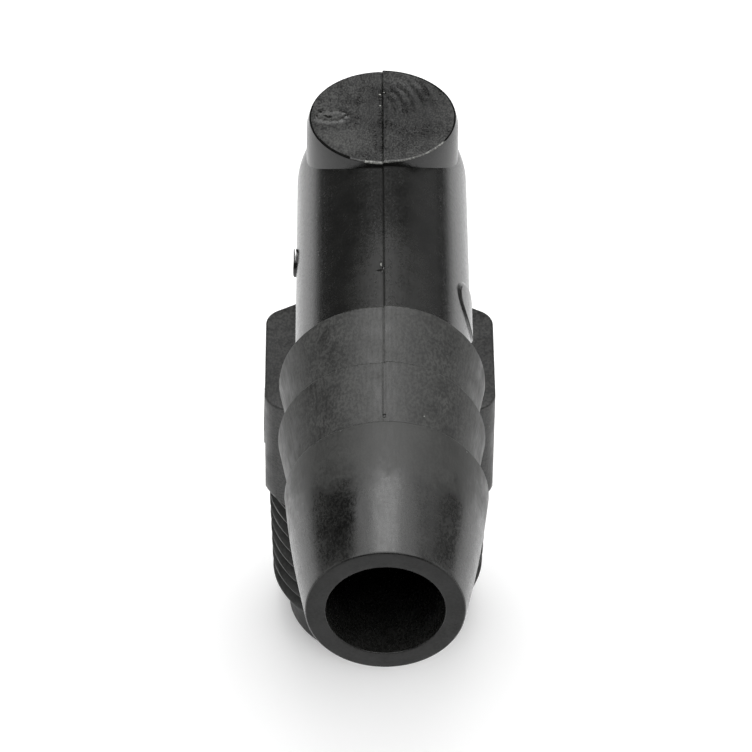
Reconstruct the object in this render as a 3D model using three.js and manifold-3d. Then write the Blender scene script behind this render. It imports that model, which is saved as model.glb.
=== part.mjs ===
// A ninety degree male elbow: a tapered pipe thread with a hexagon collar on the vertical leg,
// and a three-ring hose barb on the horizontal leg. The real thing is one moulding. It is built
// here from its sections, which meet face to face on flat planes.
// Millimetres, +Z up. The origin is the centre of the pilot's end face, on the thread's axis.
// The barb points along -Y, and the moulding's parting plane is X = 0.

import * as THREE from "three";
import { mergeVertices } from "three/addons/utils/BufferGeometryUtils.js";
import Module from "manifold-3d";

// ---------------------------------------------------------------- driving dimensions

const THREAD_PITCH = 25.4 / 14; // half inch taper pipe thread
const THREAD_DEPTH = 1.25; // crest to root, both truncated
const THREAD_TAPER = 1 / 32; // radius lost per millimetre towards the pilot
const THREAD_END_RADIUS = 10.5; // crest at the pilot's end
const CREST_SHARE = 0.14; // flats, as shares of the pitch
const ROOT_SHARE = 0.1;

// Heights above the pilot's end face.
const PILOT_TOP = 4.5;
const THREAD_TOP = 18.7;
const HEX_BEVEL_TOP = 20.2; // where the collar's foot bevel has run out at its corners
const HEX_TOP = 32.4;
const ELBOW_HEIGHT = 54; // where the two legs' axes cross

const PILOT_RADIUS = 8.9;
const PILOT_CHAMFER = 0.35;
const HEX_ACROSS_FLATS = 22.225; // takes a 7/8 inch wrench
const HEX_CORNER_RADIUS = 2.2;
const HEX_FOOT_RADIUS = 11; // where the foot bevel meets the thread
const HEX_TOP_CHAMFER = 0.25; // on the corners
const HEX_OUTSIDE = 0.02; // keeps the bevelling cone clear of the corners' tips

const NECK_BASE_RADIUS = 7.3;
const NECK_MIDDLE_RADIUS = 7.13; // at the height of the barb's axis
const BOSS_RADIUS = 6.97; // the neck comes up through the shank as a round boss
const BOSS_ABOVE_SHANK = 0.49;
const BOSS_EDGE_RADIUS = 0.3;

// The barb's distances are from the thread's axis.
const SHANK_RADIUS = 7.93;
const REAR_RING = { at: 27.7, radius: 9.22 };
const MIDDLE_RING = { at: 35.05, radius: 9.15 };
const FRONT_RING = { at: 42.43, radius: 8.9 };
const RING_ROOT_RADIUS = 7.95;
const RING_LAND = 0.3; // flat crest of each ring
const TIP_AT = 56.74;
const TIP_RADIUS = 6.83;
const TIP_EDGE = 0.25;
const LEAD_BULGE = 0.2; // the lead cone is slightly convex

const BARB_BORE_RADIUS = 5.1; // at the mouth, then at the far end
const BARB_BORE_END_RADIUS = 4.95;
const THREAD_BORE_RADIUS = 5.6;
const THREAD_BORE_END_RADIUS = 5.15;

// Round witness pads on the two sides of the shank: an ejector pin's and the gate's. Their
// heights are above the shank's axis.
const EJECTOR_PAD = { side: 1, at: 19.9, height: 1.5, radius: 2.6, proud: 0.06 };
const GATE_PAD = { side: -1, at: 11.2, height: 0, radius: 1.3, proud: 0.3 };
const PAD_START_RADIUS = 6.6; // inside the wall, clear of the bore

const ROUND_SEGMENTS = 64;
const BORE_SEGMENTS = 32;
const PAD_SEGMENTS = 40;
const THREAD_SEGMENTS = 48;
const CORNER_SEGMENTS = 5;
const EDGE_STEPS = 3; // along a small rounded edge

// ---------------------------------------------------------------- solids

const wasm = await Module();
wasm.setup();

function solid(geometry) {
  const bare = geometry.clone();
  bare.deleteAttribute("normal");
  bare.deleteAttribute("uv");
  const merged = mergeVertices(bare, 1e-4);
  return new wasm.Manifold(
    new wasm.Mesh({
      numProp: 3,
      vertProperties: merged.attributes.position.array,
      triVerts: new Uint32Array(merged.index.array),
    }),
  );
}

function geometryOf(manifold) {
  const mesh = manifold.getMesh();
  const geometry = new THREE.BufferGeometry();
  geometry.setAttribute("position", new THREE.BufferAttribute(mesh.vertProperties, 3));
  geometry.setIndex(new THREE.BufferAttribute(mesh.triVerts, 1));
  geometry.computeVertexNormals();
  return geometry;
}

// A solid of revolution about +Z from [radius, height] points, listed from the foot up.
function turned(profile, segments = ROUND_SEGMENTS) {
  const [foot, top] = [profile[0][1], profile.at(-1)[1]];
  const closed = [[0, foot], ...profile, [0, top]];
  const outline = closed.map(([radius, height]) => new THREE.Vector2(radius, height));
  return new THREE.LatheGeometry(outline, segments).rotateX(Math.PI / 2);
}

// The same about the barb's axis, with heights as distances from the thread's axis.
function turnedAlongBarb(profile, segments = ROUND_SEGMENTS) {
  return turned(profile, segments).rotateX(Math.PI / 2).translate(0, 0, ELBOW_HEIGHT);
}

// Points round the outer edge of a flat top, as [radius, height].
function roundedTopEdge(radius, top, edgeRadius) {
  const points = [];
  for (let step = 0; step <= EDGE_STEPS; step += 1) {
    const angle = (step / EDGE_STEPS) * (Math.PI / 2);
    points.push([
      radius - edgeRadius * (1 - Math.cos(angle)),
      top - edgeRadius * (1 - Math.sin(angle)),
    ]);
  }
  return points;
}

// ---------------------------------------------------------------- bores

const PAST_FACE = 1; // how far each cutter stands out of its mouth
const CORE_CONE = { height: 1.05, topRadius: 1.55 }; // the blind end of the vertical core

function barbBore() {
  const slope = (BARB_BORE_RADIUS - BARB_BORE_END_RADIUS) / TIP_AT;
  return solid(
    turnedAlongBarb(
      [
        [BARB_BORE_END_RADIUS, 0],
        [BARB_BORE_RADIUS + slope * PAST_FACE, TIP_AT + PAST_FACE],
      ],
      BORE_SEGMENTS,
    ),
  );
}

// The vertical core stops in a shallow cone under the boss.
function threadBore() {
  const slope = (THREAD_BORE_RADIUS - THREAD_BORE_END_RADIUS) / ELBOW_HEIGHT;
  const top = ELBOW_HEIGHT + BARB_BORE_RADIUS;
  return solid(
    turned(
      [
        [THREAD_BORE_RADIUS + slope * PAST_FACE, -PAST_FACE],
        [THREAD_BORE_END_RADIUS, top - CORE_CONE.height],
        [CORE_CONE.topRadius, top],
      ],
      BORE_SEGMENTS,
    ),
  );
}

const BARB_BORE = barbBore();
const THREAD_BORE = threadBore();

// ---------------------------------------------------------------- sections of the barb

// Shank with a ball end, and the neck that passes up through it and ends as a flat boss.
function elbowBody() {
  const ballSteps = 12;
  const shankProfile = [[0, -SHANK_RADIUS]];
  for (let step = 1; step <= ballSteps; step += 1) {
    const angle = (step / ballSteps) * (Math.PI / 2);
    shankProfile.push([SHANK_RADIUS * Math.sin(angle), -SHANK_RADIUS * Math.cos(angle)]);
  }
  shankProfile.push([SHANK_RADIUS, REAR_RING.at]);
  const shank = solid(turnedAlongBarb(shankProfile));

  const bossTop = ELBOW_HEIGHT + SHANK_RADIUS + BOSS_ABOVE_SHANK;
  const neck = solid(
    turned([
      [NECK_BASE_RADIUS, HEX_TOP],
      [NECK_MIDDLE_RADIUS, ELBOW_HEIGHT],
      ...roundedTopEdge(BOSS_RADIUS, bossTop, BOSS_EDGE_RADIUS),
    ]),
  );

  const pads = [EJECTOR_PAD, GATE_PAD].map(({ side, at, height, radius, proud }) => {
    const reach = SHANK_RADIUS + proud;
    const depth = reach - PAD_START_RADIUS;
    const disc = new THREE.CylinderGeometry(radius, radius, depth, PAD_SEGMENTS).rotateZ(Math.PI / 2);
    return solid(disc.translate(side * (reach - depth / 2), -at, ELBOW_HEIGHT + height));
  });

  return [neck, ...pads]
    .reduce((body, piece) => body.add(piece), shank)
    .subtract(BARB_BORE)
    .subtract(THREAD_BORE);
}

// A ring of the barb: upright at the back, then a narrow land, then a cone down to the
// next ring's foot.
function barbRing(ring, nextAt) {
  return solid(
    turnedAlongBarb([
      [ring.radius - RING_LAND / 2, ring.at],
      [ring.radius, ring.at + RING_LAND / 2],
      [ring.radius, ring.at + RING_LAND * 1.5],
      [RING_ROOT_RADIUS, nextAt],
    ]),
  ).subtract(BARB_BORE);
}

function leadCone() {
  const steps = 6;
  const start = FRONT_RING.at + RING_LAND * 1.5;
  const end = TIP_AT - TIP_EDGE;
  const flank = [];
  for (let step = 0; step <= steps; step += 1) {
    const share = step / steps;
    const straight = THREE.MathUtils.lerp(FRONT_RING.radius, TIP_RADIUS, share);
    const bulge = LEAD_BULGE * Math.sin(share * Math.PI);
    flank.push([straight + bulge, THREE.MathUtils.lerp(start, end, share)]);
  }
  return solid(
    turnedAlongBarb([
      [FRONT_RING.radius - RING_LAND / 2, FRONT_RING.at],
      [FRONT_RING.radius, FRONT_RING.at + RING_LAND / 2],
      ...flank,
      [TIP_RADIUS - TIP_EDGE, TIP_AT],
    ]),
  ).subtract(BARB_BORE);
}

// ---------------------------------------------------------------- sections of the threaded leg

// Two sides lie across X. The upright corners are round, and the foot is bevelled down to
// the thread.
function hexCollar() {
  const half = HEX_ACROSS_FLATS / 2;
  const centreReach = (half - HEX_CORNER_RADIUS) / Math.cos(Math.PI / 6);
  const roundCornerReach = centreReach + HEX_CORNER_RADIUS + HEX_OUTSIDE;
  const outline = new THREE.Shape();
  for (let corner = 0; corner < 6; corner += 1) {
    const angle = Math.PI / 2 + (corner * Math.PI) / 3;
    const [x, y] = [centreReach * Math.cos(angle), centreReach * Math.sin(angle)];
    outline.absarc(x, y, HEX_CORNER_RADIUS, angle - Math.PI / 6, angle + Math.PI / 6, false);
  }
  outline.closePath();
  const prism = new THREE.ExtrudeGeometry(outline, {
    depth: HEX_TOP - THREAD_TOP,
    bevelEnabled: false,
    curveSegments: CORNER_SEGMENTS,
  }).translate(0, 0, THREAD_TOP);

  const bevelled = turned([
    [HEX_FOOT_RADIUS, THREAD_TOP],
    [roundCornerReach, HEX_BEVEL_TOP],
    [roundCornerReach, HEX_TOP - HEX_TOP_CHAMFER],
    [roundCornerReach - HEX_TOP_CHAMFER, HEX_TOP],
  ]);
  return solid(prism).intersect(solid(bevelled)).subtract(THREAD_BORE);
}

// Right-hand helical thread on a tapered core, cut square at both ends.
function threadRadius(height, turn) {
  const crest = THREAD_END_RADIUS + (height - PILOT_TOP) * THREAD_TAPER;
  const phase = THREE.MathUtils.euclideanModulo((height - PILOT_TOP) / THREAD_PITCH - turn, 1);
  const fromCrest = Math.abs(phase - 0.5) * 2; // 0 at a crest's middle, 1 at a root's middle
  const flankShare = 1 - CREST_SHARE - ROOT_SHARE;
  const fall = THREE.MathUtils.clamp((fromCrest - CREST_SHARE) / flankShare, 0, 1);
  return crest - THREAD_DEPTH * fall;
}

function maleThread() {
  const corners = [
    0.5 - CREST_SHARE / 2,
    0.5 + CREST_SHARE / 2,
    1 - ROOT_SHARE / 2,
    1 + ROOT_SHARE / 2,
  ];
  const pitches = Math.ceil((THREAD_TOP - PILOT_TOP) / THREAD_PITCH) + 1;
  const rows = [];
  for (let pitch = -2; pitch <= pitches; pitch += 1) {
    for (const corner of corners) {
      rows.push((pitch + corner) * THREAD_PITCH);
    }
  }
  const positions = [];
  const point = (radius, angle, height) =>
    new THREE.Vector3(radius * Math.cos(angle), radius * Math.sin(angle), height);
  const face = (...vertices) => vertices.forEach((vertex) => positions.push(...vertex.toArray()));
  const at = (row, segment) => {
    const turn = segment / THREAD_SEGMENTS;
    const free = PILOT_TOP + rows[row] + turn * THREAD_PITCH;
    const height = THREE.MathUtils.clamp(free, PILOT_TOP, THREAD_TOP);
    return point(threadRadius(height, turn), turn * 2 * Math.PI, height);
  };
  for (let segment = 0; segment < THREAD_SEGMENTS; segment += 1) {
    for (let row = 0; row + 1 < rows.length; row += 1) {
      const [a, b] = [at(row, segment), at(row, segment + 1)];
      const [c, d] = [at(row + 1, segment + 1), at(row + 1, segment)];
      face(a, b, c);
      face(a, c, d);
    }
    const last = rows.length - 1;
    face(new THREE.Vector3(0, 0, PILOT_TOP), at(0, segment + 1), at(0, segment));
    face(new THREE.Vector3(0, 0, THREAD_TOP), at(last, segment), at(last, segment + 1));
  }
  const surface = new THREE.BufferGeometry();
  surface.setAttribute("position", new THREE.Float32BufferAttribute(positions, 3));
  return solid(surface).subtract(THREAD_BORE);
}

// The plain round end that leads the thread into its socket.
function pilot() {
  return solid(
    turned([
      [PILOT_RADIUS - PILOT_CHAMFER, 0],
      [PILOT_RADIUS, PILOT_CHAMFER],
      [PILOT_RADIUS, PILOT_TOP],
    ]),
  ).subtract(THREAD_BORE);
}

// ---------------------------------------------------------------- the elbow

const BLACK_PLASTIC = { color: 0x141516, roughness: 0.42, metalness: 0 };

const sections = {
  elbow_body: elbowBody(),
  barb_ring_rear: barbRing(REAR_RING, MIDDLE_RING.at),
  barb_ring_middle: barbRing(MIDDLE_RING, FRONT_RING.at),
  barb_lead_cone: leadCone(),
  hex_collar: hexCollar(),
  male_thread: maleThread(),
  thread_pilot: pilot(),
};

const elbow = new THREE.Group();
for (const [name, section] of Object.entries(sections)) {
  const mesh = new THREE.Mesh(geometryOf(section), new THREE.MeshStandardMaterial(BLACK_PLASTIC));
  mesh.name = name;
  elbow.add(mesh);
}

export default elbow;
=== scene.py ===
"""A black moulded elbow with a male pipe thread, a hexagon collar and a three-ring hose barb.

Every section stands where its CAD node stands. The barb points along -Y and the thread down -Z,
and the mould's parting plane is X = 0. Lengths are in metres, written as millimetres times MM,
except in the tables and functions that say they are in millimetres.
"""

import math

import bpy
import numpy as np
from mathutils import Matrix, Vector, noise

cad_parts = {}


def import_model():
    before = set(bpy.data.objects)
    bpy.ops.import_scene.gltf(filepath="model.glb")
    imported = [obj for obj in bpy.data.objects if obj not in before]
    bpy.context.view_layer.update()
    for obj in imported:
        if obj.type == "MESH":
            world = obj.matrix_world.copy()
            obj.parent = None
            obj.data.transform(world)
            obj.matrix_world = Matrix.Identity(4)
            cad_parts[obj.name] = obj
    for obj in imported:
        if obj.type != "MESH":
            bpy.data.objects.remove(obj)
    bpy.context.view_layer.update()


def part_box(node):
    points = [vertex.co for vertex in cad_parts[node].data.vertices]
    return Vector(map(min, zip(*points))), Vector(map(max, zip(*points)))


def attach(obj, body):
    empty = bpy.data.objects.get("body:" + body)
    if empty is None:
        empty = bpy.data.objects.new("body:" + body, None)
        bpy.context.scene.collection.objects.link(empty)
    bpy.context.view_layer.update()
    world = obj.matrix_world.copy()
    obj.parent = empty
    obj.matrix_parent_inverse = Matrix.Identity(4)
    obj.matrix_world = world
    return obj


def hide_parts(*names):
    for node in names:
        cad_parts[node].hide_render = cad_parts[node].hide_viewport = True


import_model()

MM = 0.001

# ---------------------------------------------------------------- sizes read from the frame

_, BODY_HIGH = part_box("elbow_body")
REAR_LOW, REAR_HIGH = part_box("barb_ring_rear")
MIDDLE_LOW, MIDDLE_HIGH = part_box("barb_ring_middle")
LEAD_LOW, LEAD_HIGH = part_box("barb_lead_cone")
HEX_LOW, HEX_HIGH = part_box("hex_collar")
THREAD_LOW, THREAD_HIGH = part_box("male_thread")
_, PILOT_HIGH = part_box("thread_pilot")

BARB_AXIS_Z = (LEAD_LOW.z + LEAD_HIGH.z) / 2
SHANK_RADIUS = BODY_HIGH.y  # the shank ends in a ball about the corner
REAR_AT, MIDDLE_AT, FRONT_AT, TIP_AT = -REAR_HIGH.y, -MIDDLE_HIGH.y, -LEAD_HIGH.y, -LEAD_LOW.y
REAR_RADIUS = (REAR_HIGH.z - REAR_LOW.z) / 2
MIDDLE_RADIUS = (MIDDLE_HIGH.z - MIDDLE_LOW.z) / 2
FRONT_RADIUS = (LEAD_HIGH.z - LEAD_LOW.z) / 2
HEX_HALF = HEX_HIGH.x
PILOT_RADIUS = PILOT_HIGH.x

# ---------------------------------------------------------------- sizes of the fine surface

RING_ROOT_RADIUS = 7.95 * MM
RING_LAND = 0.3 * MM  # the chamfer behind a crest: 0.4 of this inwards and 0.6 of it along
BACK_ROUNDING = 0.12 * MM
CREST_ROUNDING = 0.15 * MM
TIP_RADIUS = 6.83 * MM
TIP_ROUNDING = 0.22 * MM
MOUTH_ROUNDING = 0.12 * MM
LEAD_BULGE = 0.2 * MM  # how far the cone swells past straight, half way along
LEAD_STEPS = 24
BARB_BORE = (4.95 * MM, 5.1 * MM)  # at the corner and at the mouth
THREAD_BORE = (5.15 * MM, 5.6 * MM)
BORE_WALL = MM  # this far outside a bore is past the bore's surface and still within the wall
BOSS_RADIUS = 7.03 * MM
NECK_BASE_RADIUS = 7.3 * MM
NECK_MIDDLE_RADIUS = 7.13 * MM
BOSS_LEAN = (0.22 * MM, 1.0 * MM)  # how far the wall leans in towards the top, and over what height
BOSS_EDGE = 0.17 * MM
BOSS_FALL = 0.017  # the flat top falls away from the parting plane, as draft
HEX_CORNER = 2.2 * MM
HEX_EDGE = 0.22 * MM
HEX_FOOT_RADIUS = 11 * MM
HEX_BEVEL_SLOPE = 0.8
HEX_BEVEL_HEIGHT = 1.6 * MM
BAR_CENTRE_Z = HEX_LOW.z + 6.2 * MM
BAR_HALF_LENGTH, BAR_HALF_HEIGHT, BAR_PROUD, BAR_EDGE = 2.6 * MM, 1.9 * MM, 0.14 * MM, 0.06 * MM
THREAD_PITCH = 25.4 / 14 * MM
THREAD_DEPTH = 1.25 * MM
THREAD_TAPER = 1 / 32  # on the radius
THREAD_END_RADIUS = 10.5 * MM

# Round pads on the shank: side, distance from the thread's axis, height above the barb's axis,
# radius, how far proud, and how far out the rim slopes to its foot.
EJECTOR_PAD = (1, 19.9 * MM, 1.5 * MM, 2.55 * MM, 0.19 * MM, 0.4 * MM)
GATE_PAD = (-1, 11.2 * MM, 0, 1.3 * MM, 0.3 * MM, 0)
# A hollow beside the gate pad: towards the corner, above the barb's axis, and its size.
GATE_HOLLOW = (0.25 * MM, 0.25 * MM, Vector((0.1, 1.35, 1.35)) * MM)

# Marks on the shank's seam: angle from the seam, distance short of the rear ring, size and seed.
SEAM_BEADS = (
    (-0.034, 6.9 * MM, Vector((0.12, 0.52, 0.14)) * MM, 1),
    (-0.02, 6.1 * MM, Vector((0.08, 0.3, 0.07)) * MM, 7),
)
SEAM_CHIPS = (
    (-0.05, 6.2 * MM, Vector((0.26, 0.2, 0.24)) * MM, 2),
    (-0.005, 6.5 * MM, Vector((0.17, 0.3, 0.2)) * MM, 3),
)
SEAM_PIT_SIZE = Vector((0.16, 0.24, 0.14)) * MM  # on the middle ring
NICK_ANGLE = math.radians(-26)  # from the seam, on the front ring's crest
NICK_SIZE = Vector((0.42, 0.34, 0.3)) * MM

# The boss's flat top, in millimetres.
TOP_BEADS = ((-0.25, 3.1, 0.13), (0.14, 3.4, 0.09), (-0.22, 1.45, 0.11))  # x, y and size
TOP_BEAD_HEIGHT = 0.08
TOP_SEAM_DEPTH, TOP_SEAM_WIDTH = 0.07, 0.05
DENT_AT = (-4.8, 0.1)
DENT_LIP_AT, DENT_LIP_REACH, DENT_LIP_HEIGHT = (-4.75, 0.1), (1.35, 0.75), 0.06
DENT_PITS = (  # x, y, size across and size along
    (-5.0, -0.05, 0.34, 0.2),
    (-5.3, 0.12, 0.2, 0.12),
    (-5.76, 0.62, 0.14, 0.18),
    (-6.1, 0.0, 0.1, 0.12),
    (-4.75, 0.7, 0.16, 0.07),
)
DENT_PIT_DEPTH, DENT_PIT_SUNK = 0.34, 0.06
RIPPLE_SPACING, RIPPLE_HEIGHT = 0.92, 0.028  # of the flow ripples round the dent
RIPPLE_CENTRE, RIPPLE_SPREAD = (2.6, 2.6), (2.3, 2.6)

SEAM_HALF_WIDTH = 0.055 * MM
SEAM_DEPTH = 0.06 * MM
# How far the +X half of the surface sits off its true place. The -X half is off the other way.
MISMATCH = Vector((0, 0.07, 0.03)) * MM
# How far the rings sit off the barb's axis, along X.
RING_OFFSETS = {"rear": -0.12 * MM, "middle": -0.2 * MM, "front": 0.19 * MM}


# ---------------------------------------------------------------- mesh tools


def new_object(name, vertices, faces):
    mesh = bpy.data.meshes.new(name)
    mesh.from_pydata([tuple(v) for v in vertices], [], [tuple(f) for f in faces])
    mesh.validate()
    mesh.update()
    obj = bpy.data.objects.new(name, mesh)
    bpy.context.scene.collection.objects.link(obj)
    return obj


def smooth(obj, sharp_above=32):
    obj.data.shade_smooth()
    obj.data.set_sharp_from_angle(angle=math.radians(sharp_above))


def lofted(rows, close_rows=False):
    """Vertices and faces of a stack of rings. A ring of one point closes the stack's end."""
    vertices, starts = [], []
    for row in rows:
        starts.append(len(vertices))
        vertices.extend(row)
    faces = []
    pairs = list(zip(range(len(rows) - 1), range(1, len(rows))))
    if close_rows:
        pairs.append((len(rows) - 1, 0))
    for a, b in pairs:
        count_a, count_b = len(rows[a]), len(rows[b])
        for i in range(max(count_a, count_b)):
            j = i + 1
            corners = [
                starts[a] + i % count_a,
                starts[a] + j % count_a,
                starts[b] + j % count_b,
                starts[b] + i % count_b,
            ]
            faces.append(list(dict.fromkeys(corners)))
    return vertices, faces


def rounded(profile, arc_steps=6):
    """A closed outline from points of (radius, height, corner radius), with arcs at its corners."""
    outline, count = [], len(profile)
    for i, (x, y, corner) in enumerate(profile):
        here = Vector((x, y))
        if corner <= 0:
            outline.append(here)
            continue
        to_last = (Vector(profile[i - 1][:2]) - here).normalized()
        to_next = (Vector(profile[(i + 1) % count][:2]) - here).normalized()
        half = to_last.angle(to_next) / 2
        centre = here + (to_last + to_next).normalized() * corner / math.sin(half)
        start = here + to_last * corner / math.tan(half) - centre
        sweep = start.angle_signed(here + to_next * corner / math.tan(half) - centre)
        for step in range(arc_steps + 1):
            turn = Matrix.Rotation(-sweep * step / arc_steps, 2)
            outline.append(centre + turn @ start)
    return outline


def stretched(outline, longest):
    """The same outline with its long spans cut into steps no longer than `longest`."""
    fine = []
    for i, here in enumerate(outline):
        after = outline[(i + 1) % len(outline)]
        steps = max(1, math.ceil((after - here).length / longest))
        fine.extend(here.lerp(after, step / steps) for step in range(steps))
    return fine


def turning_angles(radius, count=200, inner=()):
    """Angles round a section, from the parting plane, with extra ones across the two seams.

    `inner` lists smaller radii, in millimetres, at which the seam must be resolved too.
    """
    offsets = np.array([0, 0.3, 0.6, 1, 1.6, 3]) * SEAM_HALF_WIDTH
    near = np.unique(np.concatenate([offsets / r for r in (radius, *(i * MM for i in inner))]))
    edge = near[-1] + 2 * SEAM_HALF_WIDTH / radius
    side = np.concatenate([near, np.linspace(edge, math.pi - edge, count // 2), math.pi - near[::-1]])
    return np.concatenate([side[:-1], side[:-1] + math.pi])


def seam_relief(angle, radius):
    """How far the parting line's groove lowers the surface at this angle, as a negative length."""
    off = abs(math.sin(angle)) * radius / SEAM_HALF_WIDTH
    return -SEAM_DEPTH * math.exp(-off * off)


def shift_halves(obj):
    """Slides the two mould halves' surfaces past each other along the parting plane."""
    for vertex in obj.data.vertices:
        side = max(-1, min(1, vertex.co.x / (0.4 * SEAM_HALF_WIDTH)))
        vertex.co += MISMATCH * side


def along_barb(angle, radius, distance):
    return (radius * math.sin(angle), -distance, BARB_AXIS_Z + radius * math.cos(angle))


def along_thread(angle, radius, height):
    return (radius * math.sin(angle), -radius * math.cos(angle), height)


def turned(name, outline, place, seam_radius, skin=None, offset=None):
    """A section turned from a closed outline of (radius, height).

    `skin` gives the share of the seam's groove at a point of the outline, and `offset` how far
    along X the point is moved.
    """
    angles = turning_angles(seam_radius)
    rows = []
    for radius, height in outline:
        share = skin(radius, height) if skin else 0
        across = offset(radius, height) if offset else 0
        row = []
        for angle in angles:
            x, y, z = place(angle, radius + share * seam_relief(angle, seam_radius), height)
            row.append((x + across, y, z))
        rows.append(row)
    return new_object(name, *lofted(rows, close_rows=True))


def boolean(target, other, operation):
    """Joins `other` to `target`, or cuts it out, and then deletes it."""
    modifier = target.modifiers.new(operation, "BOOLEAN")
    modifier.operation = operation
    modifier.solver = "MANIFOLD"
    modifier.object = other
    graph = bpy.context.evaluated_depsgraph_get()
    result = bpy.data.meshes.new_from_object(target.evaluated_get(graph))
    result.materials.clear()
    target.modifiers.clear()
    old = target.data
    target.data = result
    bpy.data.meshes.remove(old)
    bpy.data.objects.remove(other)


def plug(name, rows):
    """A closed body from rings, with a single point at each end."""
    return new_object(name, *lofted(rows))


def pebble(centre, size, seed):
    """A small uneven ellipsoid, for a chip or a bead of flash."""
    across, along = 14, 9
    rows = []
    for j in range(along + 1):
        tilt = math.pi * j / along
        row = []
        for i in range(across if 0 < j < along else 1):
            turn = -2 * math.pi * i / across
            point = Vector((
                math.sin(tilt) * math.cos(turn),
                math.sin(tilt) * math.sin(turn),
                math.cos(tilt),
            ))
            point *= 1 + 0.35 * noise.noise(point * 1.3 + Vector((seed, 0, 0)))
            row.append(Vector(centre) + Vector(size) * point)
        rows.append(row)
    return plug("pebble", rows)


# ---------------------------------------------------------------- sections of the barb


def barb_bore_radius(distance):
    share = distance / TIP_AT
    return BARB_BORE[0] + (BARB_BORE[1] - BARB_BORE[0]) * share


def ring_crest(radius, at):
    """The eased back and the crest of a ring, as outline points."""
    return [
        (radius - RING_LAND * 0.4, at, BACK_ROUNDING),
        (radius, at + RING_LAND * 0.6, CREST_ROUNDING),
    ]


def barb_ring(name, radius, at, next_at, across, seam):
    """One barb ring, from its square back to the foot of its slope.

    `across` is how far the ring sits along X. `seam` is its share of the seam's groove: below
    zero the seam stands up as flash, with a pit in it near the slope's foot.
    """
    outline = stretched(rounded([
        (barb_bore_radius(at), at, 0),
        *ring_crest(radius, at),
        (RING_ROOT_RADIUS, next_at, 0),
        (barb_bore_radius(next_at), next_at, 0),
    ]), 0.5 * MM)

    def outside(r, _distance):
        return seam if r > RING_ROOT_RADIUS - 0.3 * MM else 0

    def offset(r, _distance):
        return across if r > BARB_BORE[1] + BORE_WALL else 0

    ring = turned(name, outline, along_barb, radius, outside, offset)
    shift_halves(ring)
    if seam < 0:
        pit_radius = RING_ROOT_RADIUS + (radius - RING_ROOT_RADIUS) * 0.19
        pit = along_barb(-0.01, pit_radius, next_at - 1.35 * MM)
        boolean(ring, pebble(pit, SEAM_PIT_SIZE, 6), "DIFFERENCE")
    return ring


def lead_cone(name):
    """The front ring and its long swelling cone. Its sideways offset dies out towards the mouth."""
    start = FRONT_AT + RING_LAND * 0.6
    flank = []
    for step in range(1, LEAD_STEPS):
        share = step / LEAD_STEPS
        straight = FRONT_RADIUS + (TIP_RADIUS - FRONT_RADIUS) * share
        radius = straight + LEAD_BULGE * math.sin(share * math.pi)
        flank.append((radius, start + (TIP_AT - start) * share, 0))
    outline = rounded([
        (barb_bore_radius(FRONT_AT), FRONT_AT, 0),
        *ring_crest(FRONT_RADIUS, FRONT_AT),
        *flank,
        (TIP_RADIUS, TIP_AT, TIP_ROUNDING),
        (barb_bore_radius(TIP_AT), TIP_AT, MOUTH_ROUNDING),
    ])

    def offset(r, distance):
        share = (TIP_AT - distance) / (TIP_AT - FRONT_AT)
        return RING_OFFSETS["front"] * share if r > BARB_BORE[1] + BORE_WALL else 0

    cone = turned(name, stretched(outline, 0.6 * MM), along_barb, FRONT_RADIUS, offset=offset)
    nick = along_barb(NICK_ANGLE, FRONT_RADIUS, FRONT_AT + 0.1 * MM)
    boolean(cone, pebble(nick, NICK_SIZE, 4), "DIFFERENCE")
    return cone


def bore_cutter(foot, top, place):
    """A drafted round cutter between two (radius, distance) ends."""
    angles = np.linspace(0, 2 * math.pi, 129)[:-1]
    rows = [[place(0, 0, foot[1])]]
    for radius, height in (foot, top):
        rows.append([place(a, radius, height) for a in angles])
    rows.append([place(0, 0, top[1])])
    return plug("bore", rows)


def pad(side, at, height, radius, proud, skirt):
    """A round pad on the side of the shank that follows its curve, with a sloping rim."""
    edge, edge_steps = 0.05 * MM, 4
    foot_radius, foot_sunk = radius + skirt, 0.02 * MM
    axis_z = BARB_AXIS_Z + height
    angles = np.linspace(0, 2 * math.pi, 97)[:-1]
    base_x = side * (THREAD_BORE[1] + BORE_WALL)
    profile = [(foot_radius, -foot_sunk)]
    for step in range(edge_steps + 1):
        turn = step / edge_steps * math.pi / 2
        profile.append((radius - edge + edge * math.cos(turn), proud - edge + edge * math.sin(turn)))
    profile += [(radius * share, proud) for share in np.linspace(0.93, 0.08, 12)]
    rows = [[(base_x, -at, axis_z)]]
    rows.append([
        (base_x, -at + foot_radius * math.sin(a), axis_z + foot_radius * math.cos(a))
        for a in angles
    ])
    for ring_radius, lift in profile:
        row = []
        for a in angles:
            up = height + ring_radius * math.cos(a)
            x = math.sqrt((SHANK_RADIUS + lift) ** 2 - up**2)
            row.append((side * x, -at + ring_radius * math.sin(a), BARB_AXIS_Z + up))
        rows.append(row)
    rows.append([(side * math.sqrt((SHANK_RADIUS + proud) ** 2 - height**2), -at, axis_z)])
    if side < 0:
        rows.reverse()
    return plug("pad", rows)


def bump_at(x, y, centre, spread):
    """1 at the centre, falling smoothly to nothing over the spread."""
    off = ((x - centre[0]) / spread[0]) ** 2 + ((y - centre[1]) / spread[1]) ** 2
    return math.exp(-off)


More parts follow.
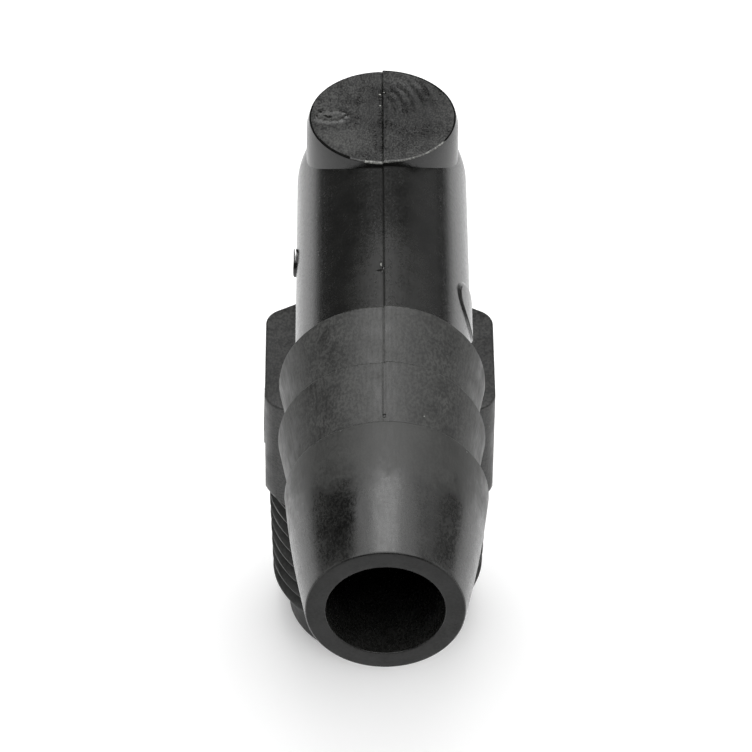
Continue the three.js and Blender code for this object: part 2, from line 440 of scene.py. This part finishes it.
def boss_top_height(x, y):
    """Height of the boss's flat top: its draft, the seam, the flow ripples and the dent's lip."""
    x, y = x / MM, y / MM
    draft = -BOSS_FALL * abs(x)
    seam = -TOP_SEAM_DEPTH * math.exp(-((x / TOP_SEAM_WIDTH) ** 2))

    wobble = 0.1 * noise.noise(Vector((x, y, 3)) * 0.6)
    phase = math.hypot(x - DENT_AT[0], y - DENT_AT[1]) / RIPPLE_SPACING + wobble
    ripples = RIPPLE_HEIGHT * math.sin(2 * math.pi * phase) * bump_at(x, y, RIPPLE_CENTRE, RIPPLE_SPREAD)

    ragged = 1 + 1.3 * noise.noise(Vector((x, y, 0)) * 2.5)
    ring = math.hypot((x - DENT_LIP_AT[0]) / DENT_LIP_REACH[0], (y - DENT_LIP_AT[1]) / DENT_LIP_REACH[1])
    lip = DENT_LIP_HEIGHT * ragged * math.exp(-((ring - 1) / 0.3) ** 2)

    waviness = 0.007 * noise.noise(Vector((x, y, 9)) * 0.9)
    return (draft + seam + ripples + lip + waviness) * MM


def neck_and_boss():
    """The round neck above the collar, up through the corner ball to the boss's flat top."""
    top, edge_steps, top_rings = BODY_HIGH.z, 7, 90
    angles = turning_angles(BOSS_RADIUS, inner=(3.4, 1.7, 0.8))
    rows = [[along_thread(0, 0, HEX_HIGH.z)]]
    sides = ((NECK_BASE_RADIUS, HEX_HIGH.z), (NECK_MIDDLE_RADIUS, BARB_AXIS_Z))
    for radius, height in sides:
        rows.append([along_thread(a, radius + seam_relief(a, BOSS_RADIUS), height) for a in angles])

    lean, drop = BOSS_LEAN
    rows.append([along_thread(a, BOSS_RADIUS + seam_relief(a, BOSS_RADIUS), top - drop) for a in angles])
    for step in range(edge_steps + 1):
        turn = step / edge_steps * math.pi / 2
        row = []
        for a in angles:
            radius = BOSS_RADIUS - lean - BOSS_EDGE * (1 - math.cos(turn)) + seam_relief(a, BOSS_RADIUS)
            x, y, z = along_thread(a, radius, top - BOSS_EDGE * (1 - math.sin(turn)))
            row.append((x, y, z + boss_top_height(x, y) * math.sin(turn)))
        rows.append(row)
    for share in np.linspace(0.99, 0, top_rings)[:-1]:
        row = []
        for a in angles:
            x, y, _ = along_thread(a, (BOSS_RADIUS - lean - BOSS_EDGE) * share, 0)
            row.append((x, y, top + boss_top_height(x, y)))
        rows.append(row)
    rows.append([(0, 0, top + boss_top_height(0, 0))])
    return plug("neck", rows)


def shank_and_ball(name):
    """The corner ball and the shank, as one closed body up to the rear ring."""
    angles, steps = turning_angles(SHANK_RADIUS), 40
    tilts = np.linspace(0, math.pi / 2, steps)[1:]
    profile = [(SHANK_RADIUS * math.sin(t), -SHANK_RADIUS * math.cos(t)) for t in tilts]
    profile += [(SHANK_RADIUS, distance) for distance in np.linspace(0, REAR_AT, steps)[1:]]
    rows = [[along_barb(0, 0, -SHANK_RADIUS)]]
    for radius, distance in profile:
        rows.append([along_barb(a, radius + seam_relief(a, radius), distance) for a in angles])
    rows.append([along_barb(0, 0, REAR_AT)])
    return plug(name, rows)


def mark_body(body):
    """The pads, and the small flaws on the shank's seam and the boss's top."""
    for shape in (EJECTOR_PAD, GATE_PAD):
        boolean(body, pad(*shape), "UNION")
    inward, above, hollow_size = GATE_HOLLOW
    hollow = (-SHANK_RADIUS - 0.08 * MM, -(GATE_PAD[1] - inward), BARB_AXIS_Z + above)
    boolean(body, pebble(hollow, hollow_size, 9), "DIFFERENCE")
    for marks, operation in ((SEAM_BEADS, "UNION"), (SEAM_CHIPS, "DIFFERENCE")):
        for angle, before, size, seed in marks:
            mark = along_barb(angle, SHANK_RADIUS, REAR_AT - before)
            boolean(body, pebble(mark, size, seed), operation)
    for x, y, size in TOP_BEADS:
        bead = (x * MM, y * MM, BODY_HIGH.z)
        boolean(body, pebble(bead, Vector((size, size, TOP_BEAD_HEIGHT)) * MM, 5), "UNION")
    for x, y, across, along in DENT_PITS:
        pit = (x * MM, y * MM, BODY_HIGH.z - DENT_PIT_SUNK * MM)
        boolean(body, pebble(pit, Vector((across, along, DENT_PIT_DEPTH)) * MM, x), "DIFFERENCE")


def elbow_body(name):
    """The corner, with the shank, the neck and boss, their marks, and both bores."""
    body = shank_and_ball(name)
    shift_halves(body)
    neck = neck_and_boss()
    shift_halves(neck)
    boolean(body, neck, "UNION")
    mark_body(body)

    bore_end = (barb_bore_radius(REAR_AT), REAR_AT + MM)
    boolean(body, bore_cutter((BARB_BORE[0], 0), bore_end, along_barb), "DIFFERENCE")
    bore_top = (THREAD_BORE[0], BARB_AXIS_Z + BARB_BORE[1] - 0.3 * MM)
    boolean(body, bore_cutter((THREAD_BORE[1], -MM), bore_top, along_thread), "DIFFERENCE")
    return body


# ---------------------------------------------------------------- sections of the threaded leg


def thread_bore_radius(height):
    share = height / BARB_AXIS_Z
    return THREAD_BORE[1] + (THREAD_BORE[0] - THREAD_BORE[1]) * share


def hex_reach(angle):
    """Distance from the axis to the collar's side. Two of its corners are on the parting plane."""
    sector = math.pi / 3
    off = (angle + sector / 2) % sector - sector / 2  # from the nearest corner
    centre = (HEX_HALF - HEX_CORNER) / math.cos(sector / 2)
    arc_end = math.atan2(HEX_CORNER * math.sin(sector / 2), centre + HEX_CORNER * math.cos(sector / 2))
    if abs(off) >= arc_end:
        return HEX_HALF / math.cos(sector / 2 - abs(off))
    return centre * math.cos(off) + math.sqrt(HEX_CORNER**2 - (centre * math.sin(off)) ** 2)


def round_to(value, squareness=0.4):
    """A sine or cosine, pushed outwards so that its circle becomes a soft rectangle."""
    return math.copysign(abs(value) ** squareness, value)


def raised_bar():
    """A plain raised bar on the left wrench flat, with a softened rim."""
    base_x, points = -HEX_HALF + 0.5 * MM, 64
    rows = [[(base_x, 0, BAR_CENTRE_Z)]]
    for x, inset in (
        (base_x, 0),
        (-HEX_HALF - BAR_PROUD + BAR_EDGE, 0),
        (-HEX_HALF - BAR_PROUD + BAR_EDGE * 0.3, BAR_EDGE * 0.3),
        (-HEX_HALF - BAR_PROUD, BAR_EDGE),
    ):
        row = []
        for i in range(points):
            turn = 2 * math.pi * i / points
            y = round_to(math.cos(turn)) * (BAR_HALF_LENGTH - inset)
            row.append((x, y, BAR_CENTRE_Z + round_to(math.sin(turn)) * (BAR_HALF_HEIGHT - inset)))
        rows.append(row)
    rows.append([(-HEX_HALF - BAR_PROUD, 0, BAR_CENTRE_Z)])
    return plug("bar", rows)


def turning_and_even(radius, count):
    """The turning angles of this radius, with evenly spaced ones added."""
    return np.unique(np.concatenate([turning_angles(radius), np.linspace(0, 2 * math.pi, count + 1)[:-1]]))


def hex_collar(name):
    """The wrench collar, with a bevelled foot, a rounded top edge and the raised bar."""
    angles, edge_steps = turning_and_even(HEX_HALF, 360), 5
    foot, top, edge = HEX_LOW.z, HEX_HIGH.z, HEX_EDGE
    bevel_top = foot + HEX_BEVEL_HEIGHT
    heights = [*np.linspace(foot, bevel_top, 34), *np.linspace(bevel_top + 0.4 * MM, top - edge, 16)]

    def side(angle, height):
        bevel = HEX_FOOT_RADIUS + (height - foot) * HEX_BEVEL_SLOPE
        return min(hex_reach(angle), bevel) + seam_relief(angle, HEX_HALF)

    rows = [[along_thread(a, thread_bore_radius(foot), foot) for a in angles]]
    for height in heights:
        rows.append([along_thread(a, side(a, height), height) for a in angles])
    for step in range(1, edge_steps + 1):
        turn = step / edge_steps * math.pi / 2
        inset = edge * (1 - math.cos(turn))
        height = top - edge + edge * math.sin(turn)
        rows.append([along_thread(a, side(a, height) - inset, height) for a in angles])
    rows.append([along_thread(a, thread_bore_radius(top), top) for a in angles])
    collar = new_object(name, *lofted(rows, close_rows=True))
    boolean(collar, raised_bar(), "UNION")
    return collar


def thread_shape(phase):
    """Depth of the thread as a share, 0 on a crest and 1 in a root, softened at both."""
    crest_share, flank_share, softness = 0.1, 0.82, 0.35
    from_crest = abs(phase % 1 - 0.5) * 2
    x = min(max((from_crest - crest_share) / flank_share, 0), 1)
    return x * (1 - softness) + softness * (x * x * (3 - 2 * x))


def male_thread(name):
    """The thread, cut square at both ends. Each ring is a slice across the helix."""
    foot, top, per_pitch = THREAD_LOW.z, THREAD_HIGH.z, 16
    angles = turning_and_even(THREAD_END_RADIUS, 240)
    heights = np.linspace(foot, top, int((top - foot) / THREAD_PITCH * per_pitch) + 1)
    rows = [[along_thread(a, thread_bore_radius(foot), foot) for a in angles]]
    for height in heights:
        row = []
        crest = THREAD_END_RADIUS + (height - foot) * THREAD_TAPER
        for a in angles:
            depth = THREAD_DEPTH * thread_shape((height - foot) / THREAD_PITCH - a / (2 * math.pi))
            row.append(along_thread(a, crest - depth + seam_relief(a, crest), height))
        rows.append(row)
    rows.append([along_thread(a, thread_bore_radius(top), top) for a in angles])
    return new_object(name, *lofted(rows, close_rows=True))


def pilot(name):
    outline = rounded([
        (thread_bore_radius(0), 0, 0.1 * MM),
        (PILOT_RADIUS, 0, 0.3 * MM),
        (PILOT_RADIUS, PILOT_HIGH.z, 0),
        (thread_bore_radius(PILOT_HIGH.z), PILOT_HIGH.z, 0),
    ])
    return turned(name, stretched(outline, 0.6 * MM), along_thread, PILOT_RADIUS)


# ---------------------------------------------------------------- materials

DARKEST, DUST_LIFT = 0.002, 0.16  # the darkest shade, and what a speck of dust adds to a shade
GLOSSIEST = 0.12  # the lowest roughness


def add_node(tree, kind, inputs, **settings):
    """A node with its inputs set or linked, returned as its first output."""
    node = tree.nodes.new(kind)
    for key, value in settings.items():
        setattr(node, key, value)
    for key, value in inputs.items():
        if isinstance(value, bpy.types.NodeSocket):
            tree.links.new(value, node.inputs[key])
        else:
            node.inputs[key].default_value = value
    return node.outputs[0]


def math_node(tree, operation, a, b):
    return add_node(tree, "ShaderNodeMath", {0: a, 1: b}, operation=operation)


def remap(tree, value, low, high, to_low, to_high):
    inputs = {"Value": value, "From Min": low, "From Max": high, "To Min": to_low, "To Max": to_high}
    return add_node(tree, "ShaderNodeMapRange", inputs, interpolation_type="SMOOTHSTEP")


def noise_field(tree, place, scales, detail=3.0, shift=0.0):
    """Noise from 0 to 1, with its scales per millimetre along X, Y and Z."""
    shifted = add_node(tree, "ShaderNodeVectorMath", {0: place, 1: (shift, shift, shift)}, operation="ADD")
    scaled = add_node(tree, "ShaderNodeVectorMath", {0: shifted, 1: scales}, operation="MULTIPLY")
    return add_node(tree, "ShaderNodeTexNoise", {"Vector": scaled, "Scale": 1.0, "Detail": detail})


def patch_mask(tree, place, centre, spread, ragged):
    """1 at a place on the surface, falling to 0 at the spread's edge, with a broken edge."""
    off = add_node(tree, "ShaderNodeVectorMath", {0: place, 1: centre}, operation="SUBTRACT")
    squeezed = add_node(tree, "ShaderNodeVectorMath", {0: off, 1: spread}, operation="DIVIDE")
    length = tree.nodes.new("ShaderNodeVectorMath")
    length.operation = "LENGTH"
    tree.links.new(squeezed, length.inputs[0])
    broken = noise_field(tree, place, (0.9, 0.9, 0.9), 4.0, 11.0)
    reach = math_node(tree, "ADD", length.outputs["Value"], remap(tree, broken, 0.3, 0.7, -ragged, ragged))
    return remap(tree, reach, 0.45, 1.05, 1.0, 0.0)


def dust_specks(tree, place):
    """1 on a few small specks, at most one to a cell, and 0 elsewhere."""
    cells = tree.nodes.new("ShaderNodeTexVoronoi")
    cells.inputs["Scale"].default_value = 0.55
    tree.links.new(place, cells.inputs["Vector"])
    chosen = tree.nodes.new("ShaderNodeSeparateColor")
    tree.links.new(cells.outputs["Color"], chosen.inputs["Color"])
    picked = remap(tree, chosen.outputs["Red"], 0.8, 0.82, 0.0, 1.0)
    size = remap(tree, chosen.outputs["Green"], 0.0, 1.0, 0.02, 0.055)
    inside = math_node(tree, "LESS_THAN", cells.outputs["Distance"], size)
    return math_node(tree, "MULTIPLY", picked, inside)


def moulded_black(
    name, roughness, colour=0.011, grain=1.0, grain_scale=4.5, speckle=0.0, uneven=1.0,
    streaks=(4.0, 0.2, 4.0), drag=1.0, patches=(), seed=0.0, ior=1.5,
):
    """Black moulded plastic: mottled gloss, fine grain, drag streaks and a few specks of dust.

    `grain`, `drag` and `uneven` are the strengths of the grain, the streaks and the mottling.
    `grain_scale` and `streaks` are how many of them there are to a millimetre, and `speckle` is how
    much the grain varies the colour. Each patch is (centre, spread, added roughness, added colour),
    in millimetres.
    """
    material = bpy.data.materials.new(name)
    material.use_nodes = True
    tree = material.node_tree
    shader = tree.nodes["Principled BSDF"]
    shader.inputs["IOR"].default_value = ior
    shader.inputs["Metallic"].default_value = 0.0
    metres = tree.nodes.new("ShaderNodeTexCoord").outputs["Object"]
    per_mm = (1 / MM, 1 / MM, 1 / MM)
    place = add_node(tree, "ShaderNodeVectorMath", {0: metres, 1: per_mm}, operation="MULTIPLY")

    mottle = noise_field(tree, place, (0.55, 0.55, 0.55), 5.0, 3.0 + seed)
    streak = noise_field(tree, place, streaks, 3.0, 7.0 + seed)
    fine = noise_field(tree, place, (grain_scale, grain_scale * 0.67, grain_scale), 3.0, seed)
    speck = dust_specks(tree, place)

    gloss = roughness
    for change in (
        remap(tree, mottle, 0.3, 0.7, -0.07 * uneven, 0.09 * uneven),
        remap(tree, streak, 0.35, 0.7, -0.03 * drag, 0.06 * drag),
        remap(tree, fine, 0.35, 0.65, -0.03, 0.04),
    ):
        gloss = math_node(tree, "ADD", gloss, change)
    shade = math_node(tree, "MULTIPLY", colour, remap(tree, mottle, 0.25, 0.75, 0.75, 1.35))
    shade = math_node(tree, "MULTIPLY", shade, remap(tree, fine, 0.4, 0.6, 1 - speckle, 1 + speckle))
    for centre, spread, add_roughness, add_colour in patches:
        mask = patch_mask(tree, place, centre, spread, 0.3 * uneven)
        gloss = math_node(tree, "ADD", gloss, math_node(tree, "MULTIPLY", mask, add_roughness))
        shade = math_node(tree, "ADD", shade, math_node(tree, "MULTIPLY", mask, add_colour))
    shade = math_node(tree, "MAXIMUM", shade, DARKEST)
    shade = math_node(tree, "ADD", shade, math_node(tree, "MULTIPLY", speck, DUST_LIFT))
    warm = add_node(tree, "ShaderNodeCombineColor", {
        "Red": shade,
        "Green": math_node(tree, "MULTIPLY", shade, 1.01),
        "Blue": math_node(tree, "MULTIPLY", shade, 0.95),
    })
    tree.links.new(warm, shader.inputs["Base Color"])
    tree.links.new(math_node(tree, "MAXIMUM", gloss, GLOSSIEST), shader.inputs["Roughness"])

    normal = {}
    for height, depth in (
        (fine, 0.009 * MM * grain),
        (streak, 0.006 * MM * drag),
        (mottle, 0.02 * MM * uneven),
        (speck, 0.03 * MM),
    ):
        bump = add_node(tree, "ShaderNodeBump", {"Height": height, "Distance": depth, **normal})
        normal = {"Normal": bump}
    tree.links.new(bump, shader.inputs["Normal"])
    return material


AXIS_Z_MM = BARB_AXIS_Z / MM
TOP_Z_MM = BODY_HIGH.z / MM

BODY_PLASTIC = moulded_black(
    "body_black", 0.22, colour=0.0075, grain=0.45, uneven=0.12, drag=0.3, seed=1.0, ior=1.52,
    patches=(((0.5, -24.0, AXIS_Z_MM + 7.8), (4.6, 10.0, 4.0), 0.08, 0.008),),
)
TOP_PLASTIC = moulded_black(
    "boss_top_black", 0.36, colour=0.015, grain=2.2, grain_scale=6.5, speckle=1.1, uneven=0.8, seed=3.0,
    patches=(
        ((1.0, -0.4, TOP_Z_MM), (5.5, 6.4, 0.9), -0.05, -0.013),
        ((-3.3, -3.4, TOP_Z_MM), (3.0, 2.4, 0.9), 0.1, 0.016),
        ((*DENT_AT, TOP_Z_MM), (1.9, 1.3, 0.9), 0.12, 0.018),
        # Painted highlight: each flash bead on the top gets 0.3 of added colour, for the glint off its
        # crown.
        *(((x, y, TOP_Z_MM), (size, size, 0.5), 0.1, 0.3) for x, y, size in TOP_BEADS),
    ),
)
RING_PLASTIC = moulded_black("ring_black", 0.5, colour=0.026, grain=1.3, speckle=0.35, seed=5.0)
LEAD_PLASTIC = moulded_black(
    "lead_black", 0.26, colour=0.013, grain=0.6, speckle=0.25, uneven=0.35, drag=0.5, seed=9.0,
    patches=(
        ((0.0, -43.3, AXIS_Z_MM + 6.0), (14.0, 7.2, 14.0), 0.26, 0.016),
        ((-3.6, -52.0, AXIS_Z_MM + 6.6), (3.2, 3.4, 3.0), -0.08, -0.005),
    ),
)
# Painted shade: a near-black, dull finish on the boss's rounded rim, for the dark outline of shade along
# that edge.
RIM_SHADE_PAINT = moulded_black("rim_painted_shade", 0.8, colour=0.002, seed=23.0, ior=1.2)
# Painted highlight: a light grey finish on the front of the boss's rim, for the bright line of light along
# that edge.
RIM_HIGHLIGHT_PAINT = moulded_black("painted_rim_highlight", 0.5, colour=0.13, speckle=0.6, seed=25.0)
FACE_PLASTIC = moulded_black("cut_face_black", 0.5, colour=0.008, grain=1.5, seed=21.0, ior=1.4)
HEX_PLASTIC = moulded_black(
    "collar_black", 0.42, colour=0.016, grain=2.4, speckle=0.6, streaks=(3.0, 3.0, 0.2), seed=13.0,
)
THREAD_PLASTIC = moulded_black(
    "thread_black", 0.45, colour=0.016, speckle=0.3, streaks=(0.3, 0.3, 6.0), seed=17.0,
)

# ---------------------------------------------------------------- the pieces

BODY_PLASTICS = (BODY_PLASTIC, TOP_PLASTIC, RIM_SHADE_PAINT, RIM_HIGHLIGHT_PAINT)
BODY_FACE, TOP_FACE, RIM_FACE, RIM_HIGHLIGHT_FACE = range(4)
TOP_FACES_WITHIN, RIM_FACES_WITHIN = 0.35 * MM, 0.4 * MM  # of the boss's top
# Where the rim's painted shade gives way at the front and on the left, and where its painted highlight
# starts on the left.
RIM_FRONT_Y, RIM_LEFT_X, RIM_HIGHLIGHT_LEFT_X = -3.6 * MM, -3.0 * MM, -1.6 * MM

LEAD_PLASTICS = (LEAD_PLASTIC, FACE_PLASTIC)
CONE_FACE, END_FACE = range(2)
END_FACES_WITHIN = 0.02 * MM


def body_face(centre):
    """Which of the body's plastics a face has: the boss's top and its rim have their own.

    The rim has painted shade, but not at the front: there it has a painted highlight, with a plain gap on
    the left.
    """
    below = BODY_HIGH.z - centre.z
    rim_radius = BOSS_RADIUS - BOSS_LEAN[0] - BOSS_EDGE
    if below < RIM_FACES_WITHIN and centre.xy.length > rim_radius:
        # The back, the sides and the front-left of the rim get the painted shade.
        if centre.y > RIM_FRONT_Y or centre.x < RIM_LEFT_X:
            return RIM_FACE
        # Right of the gap, the front of the rim gets the painted highlight.
        if centre.x > RIM_HIGHLIGHT_LEFT_X:
            return RIM_HIGHLIGHT_FACE
    return TOP_FACE if below < TOP_FACES_WITHIN else BODY_FACE


def lead_face(centre):
    """Which of the cone's plastics a face has: the flat end has its own."""
    return END_FACE if centre.y < -TIP_AT + END_FACES_WITHIN else CONE_FACE


def first_face(_centre):
    return 0


for piece, node, plastics, plastic_of in (
    (elbow_body("elbow_moulding"), "elbow_body", BODY_PLASTICS, body_face),
    (
        barb_ring("rear_ring", REAR_RADIUS, REAR_AT, MIDDLE_AT, RING_OFFSETS["rear"], 0.6),
        "barb_ring_rear", (RING_PLASTIC,), first_face,
    ),
    (
        barb_ring("middle_ring", MIDDLE_RADIUS, MIDDLE_AT, FRONT_AT, RING_OFFSETS["middle"], -0.5),
        "barb_ring_middle", (RING_PLASTIC,), first_face,
    ),
    (lead_cone("front_ring_and_lead"), "barb_lead_cone", LEAD_PLASTICS, lead_face),
    (hex_collar("hexagon_collar"), "hex_collar", (HEX_PLASTIC,), first_face),
    (male_thread("pipe_thread"), "male_thread", (THREAD_PLASTIC,), first_face),
    (pilot("plain_pilot"), "thread_pilot", (THREAD_PLASTIC,), first_face),
):
    smooth(piece)
    for plastic in plastics:
        piece.data.materials.append(plastic)
    for polygon in piece.data.polygons:
        polygon.material_index = plastic_of(polygon.center)
    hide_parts(node)
    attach(piece, "root")

# ---------------------------------------------------------------- floor, light and camera

FLOOR_SIZE = 1.6
FLOOR_GAP = 0.02 * MM
FLOOR_GLOW = 0.19
# The floor is 0.9 white up to 0.24 m from the thread's axis, falling to 0.35 at 0.6 m, as painted shade for
# the light falling off away from the part.
FLOOR_FADE = (0.24, 0.6, 0.9, 0.35)
WORLD_STRENGTH = 0.06

LIGHT_DISTANCE = 1.0
LIGHTS_AIM = Vector((0, -0.03, 0.05))
LIGHTS = (  # name, azimuth and elevation in degrees, width and height, radiance, shape
    ("overhead", 0, 90, (1.9, 1.9), 2.15, "ELLIPSE"),
    ("window", 0, 66, (0.46, 0.5), 2.9, "RECTANGLE"),
    ("left", -95, 16, (0.95, 0.55), 0.9, "RECTANGLE"),
    ("right", 95, 16, (0.95, 0.55), 1.2, "RECTANGLE"),
    ("right_back", 42, 20, (0.7, 0.45), 0.22, "RECTANGLE"),
    ("right_high", 55, 36, (0.32, 0.36), 0.8, "RECTANGLE"),
)

CAMERA_ELEVATION, CAMERA_AZIMUTH, CAMERA_ROLL = math.radians(41.78), math.radians(-0.68), math.radians(0.63)
CAMERA_DISTANCE = 438.4 * MM
CORNER_RIGHT, CORNER_UP = 0.55 * MM, 17.86 * MM  # from the middle of the frame
CAMERA_LENS, SENSOR_WIDTH = 223.4, 36  # in real millimetres, as Blender's camera takes them


def floor():
    """A matt white floor with a slight glow, greyer far from the part as painted shade."""
    half = FLOOR_SIZE / 2
    corners = [(-half, -half, 0), (half, -half, 0), (half, half, 0), (-half, half, 0)]
    obj = new_object("floor", corners, [(0, 1, 2, 3)])
    obj.location.z = -FLOOR_GAP
    material = bpy.data.materials.new("white_floor")
    material.use_nodes = True
    tree = material.node_tree
    shader = tree.nodes["Principled BSDF"]
    place = tree.nodes.new("ShaderNodeTexCoord").outputs["Object"]
    distance = tree.nodes.new("ShaderNodeVectorMath")
    distance.operation = "LENGTH"
    tree.links.new(place, distance.inputs[0])
    white = remap(tree, distance.outputs["Value"], *FLOOR_FADE)
    colour = add_node(tree, "ShaderNodeCombineColor", {"Red": white, "Green": white, "Blue": white})
    tree.links.new(colour, shader.inputs["Base Color"])
    tree.links.new(colour, shader.inputs["Emission Color"])
    shader.inputs["Emission Strength"].default_value = FLOOR_GLOW
    shader.inputs["Roughness"].default_value = 0.9
    shader.inputs["Specular IOR Level"].default_value = 0.1
    obj.data.materials.append(material)


def softbox(name, azimuth, elevation, size, radiance, shape):
    """An even light facing the part. The azimuth is from +Y towards +X."""
    azimuth, elevation = math.radians(azimuth), math.radians(elevation)
    way = Vector((
        math.sin(azimuth) * math.cos(elevation),
        math.cos(azimuth) * math.cos(elevation),
        math.sin(elevation),
    ))
    light = bpy.data.lights.new(name, "AREA")
    light.shape = shape
    light.size, light.size_y = size
    area = size[0] * size[1] * (math.pi / 4 if shape == "ELLIPSE" else 1)
    light.energy = radiance * math.pi * area
    obj = bpy.data.objects.new(name, light)
    obj.location = LIGHTS_AIM + way * LIGHT_DISTANCE
    obj.rotation_euler = way.to_track_quat("Z", "Y").to_euler()
    bpy.context.scene.collection.objects.link(obj)


def world():
    made = bpy.data.worlds.new("studio")
    made.use_nodes = True
    background = made.node_tree.nodes["Background"]
    background.inputs["Color"].default_value = (1, 1, 1, 1)
    background.inputs["Strength"].default_value = WORLD_STRENGTH
    bpy.context.scene.world = made


def camera():
    """Looks down at the barb's mouth, with the corner above the middle of the frame."""
    back = Vector((
        math.sin(CAMERA_AZIMUTH) * math.cos(CAMERA_ELEVATION),
        -math.cos(CAMERA_AZIMUTH) * math.cos(CAMERA_ELEVATION),
        math.sin(CAMERA_ELEVATION),
    ))
    level_right = Vector((math.cos(CAMERA_AZIMUTH), math.sin(CAMERA_AZIMUTH), 0))
    level_up = back.cross(level_right)
    right = level_right * math.cos(CAMERA_ROLL) + level_up * math.sin(CAMERA_ROLL)
    up = level_up * math.cos(CAMERA_ROLL) - level_right * math.sin(CAMERA_ROLL)
    data = bpy.data.cameras.new("camera")
    data.lens = CAMERA_LENS
    data.sensor_width = SENSOR_WIDTH
    data.clip_start = 0.01
    data.clip_end = 50
    obj = bpy.data.objects.new("camera", data)
    corner = Vector((0, 0, BARB_AXIS_Z))
    obj.matrix_world = Matrix((right, up, back)).transposed().to_4x4()
    obj.matrix_world.translation = corner + back * CAMERA_DISTANCE - right * CORNER_RIGHT - up * CORNER_UP
    bpy.context.scene.collection.objects.link(obj)
    bpy.context.scene.camera = obj


floor()
world()
for light in LIGHTS:
    softbox(*light)
camera()
bpy.context.scene.view_settings.view_transform = "Standard"
